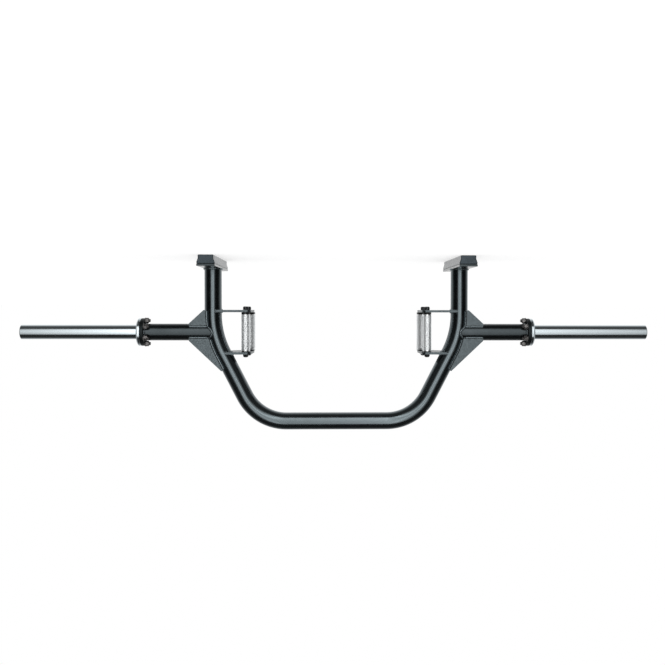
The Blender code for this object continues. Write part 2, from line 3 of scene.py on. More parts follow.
import bmesh
import bpy
from mathutils import Matrix, Vector


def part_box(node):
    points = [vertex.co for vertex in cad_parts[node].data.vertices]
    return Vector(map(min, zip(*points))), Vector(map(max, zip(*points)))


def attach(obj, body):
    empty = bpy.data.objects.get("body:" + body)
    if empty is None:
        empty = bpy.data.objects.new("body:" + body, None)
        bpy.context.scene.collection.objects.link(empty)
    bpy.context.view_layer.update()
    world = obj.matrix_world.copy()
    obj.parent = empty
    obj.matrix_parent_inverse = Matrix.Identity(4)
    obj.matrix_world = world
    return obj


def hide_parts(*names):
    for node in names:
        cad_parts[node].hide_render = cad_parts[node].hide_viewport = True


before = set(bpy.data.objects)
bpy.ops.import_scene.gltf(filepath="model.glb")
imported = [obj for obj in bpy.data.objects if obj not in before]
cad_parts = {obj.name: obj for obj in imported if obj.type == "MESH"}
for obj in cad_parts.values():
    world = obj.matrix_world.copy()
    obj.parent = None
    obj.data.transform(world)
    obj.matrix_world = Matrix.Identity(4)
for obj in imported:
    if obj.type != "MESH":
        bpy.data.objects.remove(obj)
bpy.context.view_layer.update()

SIDES = (("left", -1), ("right", 1))

# Sizes in metres, the same as the solids'
FRAME_RADIUS = 0.030
FRAME_WALL = 0.004
LEG_X = 0.431
SLEEVE_HEIGHT = 0.258
LEG_CORNER_HEIGHT = 0.268       # where the leg's and the slant's centre lines would meet
CROWN_CORNER_X = 0.276
CROWN_HEIGHT = 0.570
LEG_BEND_RADIUS = 0.300
CROWN_BEND_RADIUS = 0.164
LEG_END = 0.0371
ARM_RADIUS = 0.02925
ARM_WALL = 0.004
ARM_FLANGE_FACE = 0.667
FLANGE_THICKNESS = 0.012
FLANGE_RADIUS = 0.048
ARM_FLANGE_BORE = 0.0125
SLEEVE_FLANGE_INNER = 0.6793
SLEEVE_RADIUS = 0.025
SLEEVE_BORE = 0.020
SLEEVE_CORNER = 0.0025
SLEEVE_END = 1.094
STUD_CIRCLE = 0.040
STUD_COUNT = 6
STUD_HOLE = 0.0065
STUD_POCKET = 0.0063
NUT_TURNS = (30, 8, -12, 30, -6, 10)    # degrees, as each nut was left by the wrench
BOLT_RADIUS = 0.006             # M12 with its coarse thread
BOLT_PITCH = 0.00175
BOLT_HOLE = 0.0063
GUSSET_FRONT = 0.02275
GUSSET_THICKNESS = 0.006
GUSSET_REACH = 0.513
GUSSET_FOOT_DROP = 0.077        # along the leg, from the sleeve's axis towards the foot
GUSSET_CROWN_RISE = 0.122       # and towards the crown
GRIP_X = 0.31825
GRIP_PITCH = 0.128
GRIP_WALL = 0.0035
THIN_GRIP_RADIUS = 0.015
THICK_GRIP_RADIUS = 0.024
PLATE_SPAN = 0.139
PLATE_THICKNESS = 0.008
PLATE_INNER = GRIP_X - 0.0205
PLATE_FRONT = -0.029
PLATE_BACK = GRIP_PITCH + 0.020
PLATE_INTO_LEG = 0.008
PLATE_ROUND = 0.016             # radius of the two corners by the grips
PLATE_CUT = 0.032               # the corner cut off at the back
FOOT_LENGTH = 0.420
PAD_FLOOR_WIDTH = 0.051
PAD_TOP_WIDTH = 0.0595
PAD_STEP = 0.012                # height of the straight band, and of the flare above it
PAD_SCREWS = (-0.175, -0.070, 0.070, 0.175)
PAD_SCREW_HOLE = 0.0043
PAD_SCREW_BORE = 0.009
TOUCH = 0.0003                  # gap left between pieces that bear on each other
COVER = 0.001                   # how far a plate is cut past a tube's outside
MERGE = 1e-6                    # points closer than this are one

WELD_STEP = 0.0006
WELD_STEPS_A_RIPPLE = 4         # a ripple every 2.4 mm
WELD_RIPPLE = 0.05
WELD_START = 0.45               # an open end's share of the bead's radius
WELD_SWELL = 0.18               # and what it gains with each step
WELD_LIFT = 0.0008              # from the metal to the bead's middle
RING_LIFT = 0.0006
SADDLE_BEAD = 0.0042
LEG_SEAM_BEAD = 0.0044
ARM_SEAM_BEAD = 0.0036
RING_BEAD = 0.0032
PLATE_BEAD = 0.0026
KNURL_ROWS = 88                 # rows of 1.5 mm diamonds along a grip
PLAIN_ROWS = 3                  # rows left plain at each end of it
KNURL_DEPTH = 0.00014

SMEAR_MM = 100 / 3              # duller and brighter places on chrome
BLOTCH_MM = 50 / 3              # and on moulded and blackened pieces

# Light: 1 is white, and angles are in degrees
WINDOW_LIGHT = 3.4
WINDOW_DROP = 5                 # how far its middle lies below the horizon
WINDOW_HALF_HEIGHT = (39, 47)   # where it starts to fade, and where it ends
WINDOW_HALF_WIDTH = 32
WINDOW_ACROSS = (               # from its left edge to its right one
    (0.0, 0.0), (0.08, 0.08), (0.20, 0.27), (0.31, 0.40), (0.39, 1.0), (0.455, 0.48), (0.57, 0.33),
    (0.635, 0.94), (0.685, 0.56), (0.758, 0.33), (0.875, 0.12), (0.985, 0.0))
SIDE_LIGHT = (                  # from straight down to straight up
    (0.0, 0.09), (0.3, 0.08), (0.5, 0.006), (0.7, 0.03), (1.0, 0.03))
BACKDROP_EDGE = (-0.28, 0.85)   # how far ahead of the camera a mirrored ray points, dark to white
BACKDROP_TAPER = 0.3            # what that loses straight up or down
FADE_HEIGHT = 0.6               # window and backdrop weaken from this far below level to as far above
FADE_SHARES = (1.25, 0.75)      # and these are the shares of their light
PLAIN_LIGHT = 0.8
FLOOR_GLOW = 0.62


# Modelling steps

def begin(name):
    """Name the primitive just added and put its place in its mesh."""
    piece = bpy.context.object
    piece.name = name
    piece.data.name = name
    settle(piece)
    return piece


def settle(piece):
    """Move a piece's place, turn and size into its mesh."""
    only(piece)
    bpy.ops.object.transform_apply(location=True, rotation=True, scale=True)
    return piece


def deselect():
    bpy.ops.object.select_all(action="DESELECT")


def only(*pieces):
    """Select these pieces alone, the first one active."""
    deselect()
    for piece in pieces:
        piece.select_set(True)
    bpy.context.view_layer.objects.active = pieces[0]


def edit(piece):
    only(piece)
    bpy.ops.object.mode_set(mode="EDIT")


def done():
    bpy.ops.object.mode_set(mode="OBJECT")


def face_outwards(merge=False):
    """In edit mode, turn every face outwards, where asked after doubled points are merged."""
    bpy.ops.mesh.select_all(action="SELECT")
    if merge:
        bpy.ops.mesh.remove_doubles(threshold=MERGE)
    bpy.ops.mesh.normals_make_consistent(inside=False)


def pick(piece, kind, test):
    """In edit mode, select the vertices, edges or faces that pass a test."""
    bpy.ops.mesh.select_mode(type={"verts": "VERT", "edges": "EDGE", "faces": "FACE"}[kind])
    bpy.ops.mesh.select_all(action="DESELECT")
    mesh = bmesh.from_edit_mesh(piece.data)
    for part in getattr(mesh, kind):
        if test(part):
            part.select_set(True)
    mesh.select_flush_mode()
    bmesh.update_edit_mesh(piece.data)


def middle(part):
    """Centre of an edge or a face."""
    corners = [vert.co for vert in part.verts]
    return sum(corners, Vector()) / len(corners)


def modify(piece, kind, **settings):
    """Add a modifier and apply it."""
    only(piece)
    bpy.ops.object.modifier_add(type=kind)
    modifier = piece.modifiers[-1]
    for key, value in settings.items():
        setattr(modifier, key, value)
    bpy.ops.object.modifier_apply(modifier=modifier.name)
    return piece


def cut(piece, *tools):
    """Take solid tools away from a piece."""
    for tool in tools:
        modify(piece, "BOOLEAN", operation="DIFFERENCE", solver="EXACT", object=tool)
    return piece


def round_shading(piece, angle=35):
    """Shade smooth, and keep as hard every edge that turns more than the angle in degrees."""
    only(piece)
    bpy.ops.object.shade_smooth_by_angle(angle=math.radians(angle))
    return piece


def at(x, y, z):
    """A move as a matrix."""
    return Matrix.Translation((x, y, z))


def copy_of(piece, name, matrix):
    """A copy with its own mesh, moved by a matrix that goes into the mesh."""
    copy = piece.copy()
    copy.data = piece.data.copy()
    copy.name = copy.data.name = name
    bpy.context.scene.collection.objects.link(copy)
    copy.matrix_world = matrix
    settle(copy)
    if matrix.determinant() < 0:
        edit(copy)
        face_outwards()
        done()
    return copy


def joined(name, pieces):
    """Several pieces as one."""
    only(*pieces)
    if len(pieces) > 1:
        bpy.ops.object.join()
    piece = bpy.context.object
    piece.name = piece.data.name = name
    return piece


def discard(*pieces):
    """Remove shapes that were only modelled with."""
    for piece in pieces:
        bpy.data.objects.remove(piece)


def draw_out(x, y, z):
    """In edit mode, extrude what is selected by a move."""
    bpy.ops.mesh.extrude_region_move(TRANSFORM_OT_translate={"value": (x, y, z)})


def draw_in(new_radius, radius):
    """In edit mode, scale what is selected about Z from one radius to another."""
    scale = new_radius / radius
    bpy.ops.transform.resize(value=(scale, scale, 1), center_override=(0, 0, 0))


def turned(name, profile, sides=96, ring=False):
    """Lathe work about Z: a circle drawn out through (radius, height) steps.

    A ring closes on its first step, and anything else gets flat ends.
    """
    radius, height = profile[0]
    deselect()
    bpy.ops.mesh.primitive_circle_add(
        vertices=sides, radius=radius, location=(0, 0, height), fill_type="NOTHING" if ring else "NGON")
    piece = begin(name)
    edit(piece)
    bpy.ops.mesh.select_all(action="SELECT")
    for next_radius, next_height in profile[1:] + (profile[:1] if ring else []):
        draw_out(0, 0, next_height - height)
        draw_in(next_radius, radius)
        radius, height = next_radius, next_height
    face_outwards(merge=True)
    done()
    return round_shading(piece)


def block(name, low, high):
    """A box between two corners, the start of a plate."""
    deselect()
    low, high = Vector(low), Vector(high)
    bpy.ops.mesh.primitive_cube_add(size=1, location=(low + high) / 2, scale=high - low)
    return begin(name)


def saw(piece, point, normal):
    """Cut a piece along a plane and drop what the normal points at."""
    edit(piece)
    bpy.ops.mesh.select_all(action="SELECT")
    bpy.ops.mesh.bisect(plane_co=point, plane_no=normal, clear_outer=True, use_fill=True)
    done()
    return piece


def bevel_edges(piece, test, offset, segments):
    """Round the edges that pass a test, or cut them off with one segment."""
    edit(piece)
    pick(piece, "edges", test)
    bpy.ops.mesh.bevel(offset=offset, segments=segments, profile=0.5, affect="EDGES")
    done()
    return piece


def break_edges(piece, width=0.0006, segments=2, angle=40):
    """Take the sharpness off every edge that turns more than the angle in degrees."""
    return modify(
        piece, "BEVEL", width=width, segments=segments, limit_method="ANGLE",
        angle_limit=math.radians(angle), use_clamp_overlap=True)


def bead(name, points, radius, closed=False):
    """A weld bead along a line of points, swelling and thinning with each ripple."""
    deselect()
    bpy.ops.curve.primitive_nurbs_path_add()
    piece = bpy.context.object
    piece.name = name
    curve = piece.data
    curve.splines.clear()
    curve.dimensions = "3D"
    curve.bevel_depth = radius
    curve.bevel_resolution = 3
    curve.use_fill_caps = True
    spline = curve.splines.new("POLY")
    line = resampled(points, WELD_STEP, closed)
    spline.points.add(len(line) - 1)
    spline.use_cyclic_u = closed
    for number, (point, place) in enumerate(zip(spline.points, line)):
        point.co = (*place, 1)
        point.radius = 1.0 + WELD_RIPPLE * math.cos(math.tau * number / WELD_STEPS_A_RIPPLE)
        if not closed:
            edge = min(number, len(line) - 1 - number)
            point.radius *= min(1.0, WELD_START + WELD_SWELL * edge)
    only(piece)
    bpy.ops.object.convert(target="MESH")
    piece = bpy.context.object
    settle(piece)
    edit(piece)
    face_outwards(merge=True)
    done()
    return round_shading(piece, 80)


def resampled(points, step, closed):
    """Evenly spaced points along a line."""
    points = [Vector(point) for point in points]
    if closed:
        points.append(points[0].copy())
    lengths = [0.0]
    for a, b in zip(points, points[1:]):
        lengths.append(lengths[-1] + (b - a).length)
    count = max(8, round(lengths[-1] / step))
    if closed:
        count = WELD_STEPS_A_RIPPLE * round(count / WELD_STEPS_A_RIPPLE)
    result = []
    piece = 0
    for number in range(count if closed else count + 1):
        distance = lengths[-1] * number / count
        while piece < len(points) - 2 and lengths[piece + 1] < distance:
            piece += 1
        span = lengths[piece + 1] - lengths[piece]
        share = (distance - lengths[piece]) / span if span else 0
        result.append(points[piece].lerp(points[piece + 1], share))
    return result


# Materials

def linear(hex_colour):
    """sRGB hex to linear RGBA."""
    values = [int(hex_colour[i:i + 2], 16) / 255 for i in (1, 3, 5)]
    return [v / 12.92 if v <= 0.04045 else ((v + 0.055) / 1.055) ** 2.4 for v in values] + [1.0]


def node(tree, kind, settings=None, **links):
    """Add a shader node, set what settings names on it, its sockets or its ramp's stops, and link the rest.

    A link comes from an output, or from a node's first one.
    """
    added = tree.nodes.new("ShaderNode" + kind)
    for key, value in (settings or {}).items():
        if key == "stops":
            set_stops(added.color_ramp, value)
        elif isinstance(key, int) or key in added.inputs:
            added.inputs[key].default_value = value
        else:
            setattr(added, key, value)
    for key, source in links.items():
        numbered = key[0] == "i" and key[1:].isdigit()
        output = getattr(source, "outputs", [source])[0]
        tree.links.new(output, added.inputs[int(key[1:]) if numbered else key.replace("_", " ")])
    return added


def set_stops(ramp, stops):
    """Give a ramp its (place, grey) stops."""
    ramp.interpolation = "EASE"
    while len(ramp.elements) < len(stops):
        ramp.elements.new(0.5)
    for stop, (place, light) in zip(ramp.elements, stops):
        stop.position = place
        stop.color = (light, light, light, 1)


def material(name, base, **settings):
    """A Principled material, returned with its tree, its shader and the object coordinates."""
    made = bpy.data.materials.new(name)
    made.use_nodes = True
    tree = made.node_tree
    shader = tree.nodes["Principled BSDF"]
    shader.inputs["Base Color"].default_value = linear(base)
    made.diffuse_color = linear(base)
    for key, value in settings.items():
        shader.inputs[key.replace("_", " ")].default_value = value
    place = node(tree, "TexCoord").outputs["Object"]
    return made, tree, shader, place


def surface(tree, shader, relief, depth, step, gloss, spread, roughness):
    """Give a shader a bump from one pattern, and a range of roughness over the spread of another."""
    bump = node(tree, "Bump", {"Strength": depth, "Distance": step}, Height=relief.outputs["Fac"])
    tree.links.new(bump.outputs["Normal"], shader.inputs["Normal"])
    dull = node(
        tree, "MapRange",
        {"From Min": spread[0], "From Max": spread[1], "To Min": roughness[0], "To Max": roughness[1]},
        Value=gloss.outputs["Fac"])
    tree.links.new(dull.outputs["Result"], shader.inputs["Roughness"])


def powder_coat(piece, base, roughness, ior, peel_mm, depth, patch_mm=45, unevenness=0.05):
    """Satin black polyester powder baked on steel: a faint orange peel, and patches a little duller."""
    name = f"satin_black_powder_coat_{piece}"
    made, tree, shader, place = material(
        name, base, Roughness=roughness, IOR=ior, Specular_Tint=linear("#e6f8ff"))
    peel = node(tree, "TexNoise", {"Scale": 1000 / peel_mm, "Detail": 3.0, "Roughness": 0.55}, Vector=place)
    dust = node(tree, "TexNoise", {"Scale": 1000 / patch_mm, "Detail": 5.0, "Roughness": 0.6}, Vector=place)
    uneven = roughness - unevenness, roughness + unevenness
    surface(tree, shader, peel, depth, 0.0002, dust, (0.3, 0.7), uneven)
    return made


def chrome(name, base, roughness, ring_mm, axis, depth, metallic=1.0):
    """Hard chrome over turned steel: bright and cool, with the lathe's rings just visible under it."""
    made, tree, shader, place = material(name, base, Roughness=roughness, Metallic=metallic)
    # The wave's bands are tau / 20 of a metre apart at a scale of 1
    rings = node(
        tree, "TexWave",
        {"wave_type": "BANDS", "bands_direction": axis, "Scale": math.tau / 20 * 1000 / ring_mm,
         "Distortion": 0.6, "Detail": 2.0, "Detail Scale": 3.0}, Vector=place)
    wear = node(tree, "TexNoise", {"Scale": 1000 / SMEAR_MM, "Detail": 6.0, "Roughness": 0.65}, Vector=place)
    surface(tree, shader, rings, depth, 0.00005, wear, (0.35, 0.75), (roughness, roughness + 0.07))
    return made


def grained(name, base, roughness, grain_mm, depth, **settings):
    """A moulded or blackened surface: a fine grain and slightly uneven gloss."""
    made, tree, shader, place = material(name, base, Roughness=roughness, **settings)
    grain = node(tree, "TexNoise", {"Scale": 1000 / grain_mm, "Detail": 4.0, "Roughness": 0.6}, Vector=place)
    blotches = node(tree, "TexNoise", {"Scale": 1000 / BLOTCH_MM, "Detail": 4.0}, Vector=place)
    uneven = roughness - 0.05, roughness + 0.07
    surface(tree, shader, grain, depth, 0.0002, blotches, (0.3, 0.7), uneven)
    return made


# Powder coat gives a long soft highlight on tubes and a speckled sheen on flat plates, in a cool black. Its
# IOR is about 1.5, and tubes and plates have more, because the real coat's highlights are stronger. The
# beads' copy is lighter and far more reflective: a painted highlight, so that the weld lines read bright.
# The peel is drawn coarser than the real one, which is too fine to show, and coarsest on the plates.
tube_coat = powder_coat("tube", "#070809", 0.18, 2.25, 1.6, 0.05)
# The arms' copy of the coat reflects less than the tubes': painted shade, so that their highlight reads
# dimmer.
arm_coat_painted_shade = powder_coat("arm", "#070809", 0.24, 1.62, 1.6, 0.08)
# The flange's copy of the coat is darker and duller than the rest: painted shade on its rim.
flange_coat_painted_shade = powder_coat("flange", "#050606", 0.50, 1.42, 1.6, 0.1)
plate_coat = powder_coat("plate", "#090a0b", 0.37, 2.0, 7.0, 0.5, 4, 0.16)
foot_coat = powder_coat("foot", "#08090a", 0.20, 1.5, 1.6, 0.05)
# The beads' copy of the coat is lighter and more reflective: a painted highlight along the weld lines.
weld_coat_painted_highlight = powder_coat("weld", "#0b0c0d", 0.26, 2.9, 1.0, 0.06)

# Polished chrome mirrors light and dark in sharp bands. Real lathe rings are about 0.2 mm apart, and they
# are drawn at 1.5 mm to show. Knurled grips scatter light more evenly: they are rougher and less metallic.
sleeve_chrome = chrome("hard_chrome_turned", "#bdc6ca", 0.10, 1.5, "X", 0.12)
flange_chrome = chrome("hard_chrome_faced", "#bdc6ca", 0.14, 1.5, "X", 0.12)
grip_chrome = chrome("hard_chrome_knurled", "#fafdfe", 0.34, 1.2, "Z", 0.05, 0.8)

# Phosphate leaves a nut a soft mid grey, and black oxide leaves a screw darker. Both are satin and a little
# grainy. Their grain, and that of the plastics, is far under a millimetre and is drawn coarser.
nut_steel = grained("phosphated_steel", "#7c7a79", 0.44, 0.8, 0.1, Metallic=0.9)
black_steel = grained("black_oxide_steel", "#4c4e50", 0.44, 0.8, 0.1, Metallic=0.9)

# Moulded nylon is a dull black, and moulded rubber has a bluish sheen where it was pressed against its mould
nylon = grained("black_nylon_moulded", "#0c0d0d", 0.46, 0.9, 0.25, IOR=1.53)
rubber = grained(
    "black_rubber_moulded", "#15191b", 0.25, 1.3, 0.15, IOR=1.52, Specular_Tint=linear("#dcf1ff"))


def dress(piece, look, slot, body, *replaced):
    """Give a finished piece its material and body, and hide what it stands for. The slot is not used.

    The normals follow the larger faces, so that a flat plate stays flat beside its broken edges.
    """
    modify(piece, "WEIGHTED_NORMAL", keep_sharp=True)
    piece.data.materials.clear()
    piece.data.materials.append(look)
    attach(piece, body)
    if replaced:
        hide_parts(*replaced)
    return piece


def placed(piece, name, matrix, angle, look, slot, body, *replaced):
    """A dressed copy of a piece at its place, shaded smooth below an angle."""
    made = round_shading(copy_of(piece, name, matrix), angle)
    return dress(made, look, slot, body, *replaced)


# Frame tube

LEG_TURN = math.atan2(LEG_X - CROWN_CORNER_X, CROWN_HEIGHT - LEG_CORNER_HEIGHT)     # from a leg to its slant
CROWN_TURN = math.pi / 2 - LEG_TURN
SLANT = Vector((-math.sin(LEG_TURN), 0, math.cos(LEG_TURN)))
LEG_TANGENT = LEG_BEND_RADIUS * math.tan(LEG_TURN / 2)
CROWN_TANGENT = CROWN_BEND_RADIUS * math.tan(CROWN_TURN / 2)
LEG_BEND_START = Vector((LEG_X, 0, LEG_CORNER_HEIGHT - LEG_TANGENT))
LEG_BEND_CENTRE = LEG_BEND_START - Vector((LEG_BEND_RADIUS, 0, 0))
CROWN_BEND_START = Vector((CROWN_CORNER_X, 0, CROWN_HEIGHT)) - SLANT * CROWN_TANGENT
CROWN_BEND_CENTRE = CROWN_BEND_START + CROWN_BEND_RADIUS * Vector((-SLANT.z, 0, SLANT.x))


def bend_points(centre, radius, start, turn, steps=24):
    """Points of a bend of the centre line, its angles up from the X axis."""
    angles = (start + turn * step / steps for step in range(steps + 1))
    return [centre + radius * Vector((math.cos(angle), 0, math.sin(angle))) for angle in angles]


# Right half of the frame's centre line, from the foot to the middle of the crown
FRAME_LINE = [
    Vector((LEG_X, 0, LEG_END)),
    *bend_points(LEG_BEND_CENTRE, LEG_BEND_RADIUS, 0, LEG_TURN),
    *bend_points(CROWN_BEND_CENTRE, CROWN_BEND_RADIUS, LEG_TURN, CROWN_TURN),
    Vector((0, 0, CROWN_HEIGHT)),
]


def leg_at(height):
    """Centre line's x and its lean at a height below the crown's bend."""
    for a, b in zip(FRAME_LINE, FRAME_LINE[1:]):
        if a.z <= height <= b.z:
            return a.x + (b.x - a.x) * (height - a.z) / (b.z - a.z), math.atan2(a.x - b.x, b.z - a.z)
    raise ValueError("no leg at this height")


def half_tube():
    """Right half of the tube's outside: a circle drawn up the leg, round both bends and on to the middle."""
    bend_end = Vector((LEG_X, 0, LEG_CORNER_HEIGHT)) + SLANT * LEG_TANGENT
    deselect()
    bpy.ops.mesh.primitive_circle_add(vertices=64, radius=FRAME_RADIUS, location=(LEG_X, 0, LEG_END))
    tube = begin("frame_half")
    edit(tube)
    bpy.ops.mesh.select_all(action="SELECT")
    draw_out(0, 0, LEG_BEND_START.z - LEG_END)
    bpy.ops.mesh.spin(steps=14, angle=LEG_TURN, center=LEG_BEND_CENTRE, axis=(0, 1, 0), dupli=False)
    draw_out(*(CROWN_BEND_START - bend_end))
    bpy.ops.mesh.spin(steps=24, angle=CROWN_TURN, center=CROWN_BEND_CENTRE, axis=(0, 1, 0), dupli=False)
    draw_out(CROWN_TANGENT - CROWN_CORNER_X, 0, 0)
    face_outwards(merge=True)
    done()
    return tube


def frame_tube():
    """The bent tube, and a solid copy of its outside that later pieces are cut with."""
    tube = half_tube()
    modify(tube, "MIRROR", use_axis=(True, False, False), use_mirror_merge=True, merge_threshold=1e-5)
    edit(tube)
    face_outwards()
    done()
    core = copy_of(tube, "frame_core", Matrix.Identity(4))
    edit(core)
    for side in (-1, 1):
        pick(core, "edges", lambda e: e.is_boundary and side * middle(e).x > 0)
        bpy.ops.mesh.edge_face_add()
    face_outwards()
    done()
    tube.name = tube.data.name = "bent_frame_tube"
    modify(tube, "SOLIDIFY", thickness=FRAME_WALL, offset=-1, use_even_offset=True)
    round_shading(tube)
    dress(tube, tube_coat, "satin_black_coat", "frame", "main_frame_tube")
    return core


frame_core = frame_tube()

MIRROR_X = Matrix.Scale(-1, 4, (1, 0, 0))
MIRROR_Y = Matrix.Scale(-1, 4, (0, 1, 0))


def outwards(distance, side=1):
    """Turns lathe work about Z to point outwards on the sleeve axis."""
    turn = Matrix.Rotation(side * math.pi / 2, 4, "Y")
    return at(side * distance, 0, SLEEVE_HEIGHT) @ turn


def put(piece, matrix):
    """Move a piece by a matrix that goes into its mesh."""
    piece.matrix_world = matrix
    return settle(piece)


def on_both_sides(piece, stem, look, slot, *nodes):
    """Dress a right-hand piece and its mirrored twin, each hiding its own side's CAD nodes."""
    twin = copy_of(piece, f"{stem}_left", MIRROR_X)
    piece.name = piece.data.name = f"{stem}_right"
    round_shading(twin)
    dress(piece, look, slot, "frame", *(f"{name}_right" for name in nodes))
    dress(twin, look, slot, "frame", *(f"{name}_left" for name in nodes))


# Arms, flanges and sleeves

def solid_arm():
    """The arm's outside as a solid, to cut the gussets with."""
    start = LEG_X - FRAME_RADIUS
    core = turned("arm_core", [(ARM_RADIUS, 0), (ARM_RADIUS, ARM_FLANGE_FACE - start)])
    return put(core, outwards(start))


def arm():
    """The arm's tube, its inner end cut to the leg."""
    start = leg_at(SLEEVE_HEIGHT)[0]
    length = ARM_FLANGE_FACE - start
    inner = ARM_RADIUS - ARM_WALL
    tube = turned("arm", [(ARM_RADIUS, 0), (ARM_RADIUS, length), (inner, length), (inner, 0)], ring=True)
    put(tube, outwards(start))
    cut(tube, frame_core)
    round_shading(tube)
    on_both_sides(tube, "outrigger_arm", arm_coat_painted_shade, "satin_black_coat", "arm_tube")


def stud_drills(radius, depth):
    """Drills on the stud circle, to a depth above and below z = 0."""
    first = turned("drill", [(radius, -depth), (radius, depth)], 32)
    out = at(STUD_CIRCLE, 0, 0)
    drills = [
        copy_of(first, f"drill_{number}", Matrix.Rotation(math.tau * number / STUD_COUNT, 4, "Z") @ out)
        for number in range(STUD_COUNT)
    ]
    discard(first)
    return joined("stud_drills", drills)


def bolted_flanges():
    """The arm's black flange and the sleeve's chrome flange, each drilled for the studs."""
    radius, depth, edge, chamfer = FLANGE_RADIUS, FLANGE_THICKNESS, 0.001, 0.004
    drills = stud_drills(STUD_HOLE, 0.03)
    black = turned("arm_flange", [
        (ARM_FLANGE_BORE, 0), (radius - edge, 0), (radius, edge), (radius, depth - edge),
        (radius - edge, depth), (ARM_FLANGE_BORE, depth)], 128, ring=True)
    cut(black, drills)
    put(black, outwards(ARM_FLANGE_FACE))
    round_shading(black)
    on_both_sides(black, "arm_bolt_flange", flange_coat_painted_shade, "satin_black_coat", "arm_flange")
    discard(drills)

    bore, lead = SLEEVE_RADIUS + TOUCH, 0.0008
    drills = stud_drills(STUD_POCKET, 0.0083)
    bright = turned("sleeve_flange", [
        (bore, 0), (radius - edge, 0), (radius, edge), (radius, depth - chamfer), (radius - chamfer, depth),
        (bore + lead, depth), (bore, depth - lead)], 128, ring=True)
    cut(bright, drills)
    put(bright, outwards(SLEEVE_FLANGE_INNER))
    round_shading(bright)
    on_both_sides(bright, "sleeve_collar_flange", flange_chrome, "hard_chrome", "sleeve_flange")
    discard(drills)


def plate_sleeve():
    """The sleeve with its rounded nose, and the drilled plug just inside its outer end."""
    length, lead = SLEEVE_END - SLEEVE_FLANGE_INNER, 0.0008
    centre = SLEEVE_RADIUS - SLEEVE_CORNER, length - SLEEVE_CORNER
    nose = [
        (centre[0] + SLEEVE_CORNER * math.cos(angle), centre[1] + SLEEVE_CORNER * math.sin(angle))
        for angle in (math.radians(15 * step) for step in range(7))
    ]
    tube = turned("sleeve", [
        (SLEEVE_RADIUS, 0), *nose, (SLEEVE_BORE + lead, length), (SLEEVE_BORE, length - lead),
        (SLEEVE_BORE, 0)], 128, ring=True)
    put(tube, outwards(SLEEVE_FLANGE_INNER))
    on_both_sides(tube, "plate_sleeve", sleeve_chrome, "hard_chrome", "sleeve_tube")
    outer, hole, top, bottom = SLEEVE_BORE - TOUCH, 0.004, length - 0.0015, length - 0.0135
    plug = turned("plug", [
        (outer, bottom), (outer, top - lead), (outer - lead, top), (hole + 0.0006, top),
        (hole, top - 0.0006), (hole, bottom)], 96, ring=True)
    put(plug, outwards(SLEEVE_FLANGE_INNER))
    on_both_sides(plug, "sleeve_plug", flange_chrome, "hard_chrome", "sleeve_end_plug")


# Threads, nuts and bolts

def thread(radius, pitch, bottom, top):
    """A rod from bottom to top with a real screw thread and a chamfered tip."""
    root = radius - 0.61 * pitch        # a metric thread's depth
    deselect()
    bpy.ops.mesh.primitive_circle_add(vertices=3, radius=1)
    ridge = begin("ridge")
    corners = [(root - 0.0003, 0.0), (radius + 0.0001, pitch * 0.5), (root - 0.0003, pitch * 1.04)]
    for vert, (x, z) in zip(ridge.data.vertices, corners):
        vert.co = (x, 0, z + bottom - pitch)
    turns = math.ceil((top - bottom) / pitch) + 1
    modify(ridge, "SCREW", axis="Z", screw_offset=pitch, iterations=turns, steps=24, render_steps=24)
    half_way = bottom + (turns - 1) * pitch / 2
    edit(ridge)
    for low in (True, False):
        pick(ridge, "edges", lambda e: e.is_boundary and (middle(e).z < half_way) == low)
        bpy.ops.mesh.edge_face_add()
    face_outwards()
    done()
    rod = turned("rod", [(root, bottom - 2 * pitch), (root, top + 2 * pitch)], 48)
    modify(rod, "BOOLEAN", operation="UNION", solver="EXACT", object=ridge)
    hull = turned("hull", [(radius, bottom), (radius, top - 0.8 * pitch), (root, top)], 48)
    modify(rod, "BOOLEAN", operation="INTERSECT", solver="EXACT", object=hull)
    discard(ridge, hull)
    return round_shading(rod, 30)


def hex_nut(flats, bottom, top, hole):
    """A hexagon nut with its corners turned down on both faces."""
    corner = flats / 2 / math.cos(math.pi / 6)
    blank = turned("nut", [(corner, bottom), (corner, top)], 6)
    lead = 0.28 * (corner - flats / 2) + 0.0008
    face = flats / 2 - 0.0002
    hull = turned("hull", [(face, bottom), (corner, bottom + lead), (corner, top - lead), (face, top)], 64)
    modify(blank, "BOOLEAN", operation="INTERSECT", solver="EXACT", object=hull)
    drill = turned("drill", [(hole, bottom - 0.01), (hole, top + 0.01)], 32)
    cut(blank, drill)
    discard(hull, drill)
    return round_shading(blank, 25)


def flange_stud():
    """Stud from the sleeve flange through the arm flange, with its washer and nut above z = 0."""
    washer_top = 0.0025
    nut_top = washer_top + 0.0105
    tip = nut_top + 0.0055
    shank = turned("shank", [(BOLT_RADIUS, -0.0203), (BOLT_RADIUS, nut_top - 0.002)], 32)
    screw = thread(BOLT_RADIUS, BOLT_PITCH, nut_top - 0.0025, tip)
    washer = turned("washer", [
        (0.0062, 0.0003), (0.0102, 0.0003), (0.0105, 0.0006), (0.0105, washer_top - 0.0005),
        (0.0100, washer_top), (0.0062, washer_top)], 48, ring=True)
    nut = hex_nut(0.0165, washer_top, nut_top, 0.0056)
    return joined("flange_stud", [nut, washer, shank, screw])


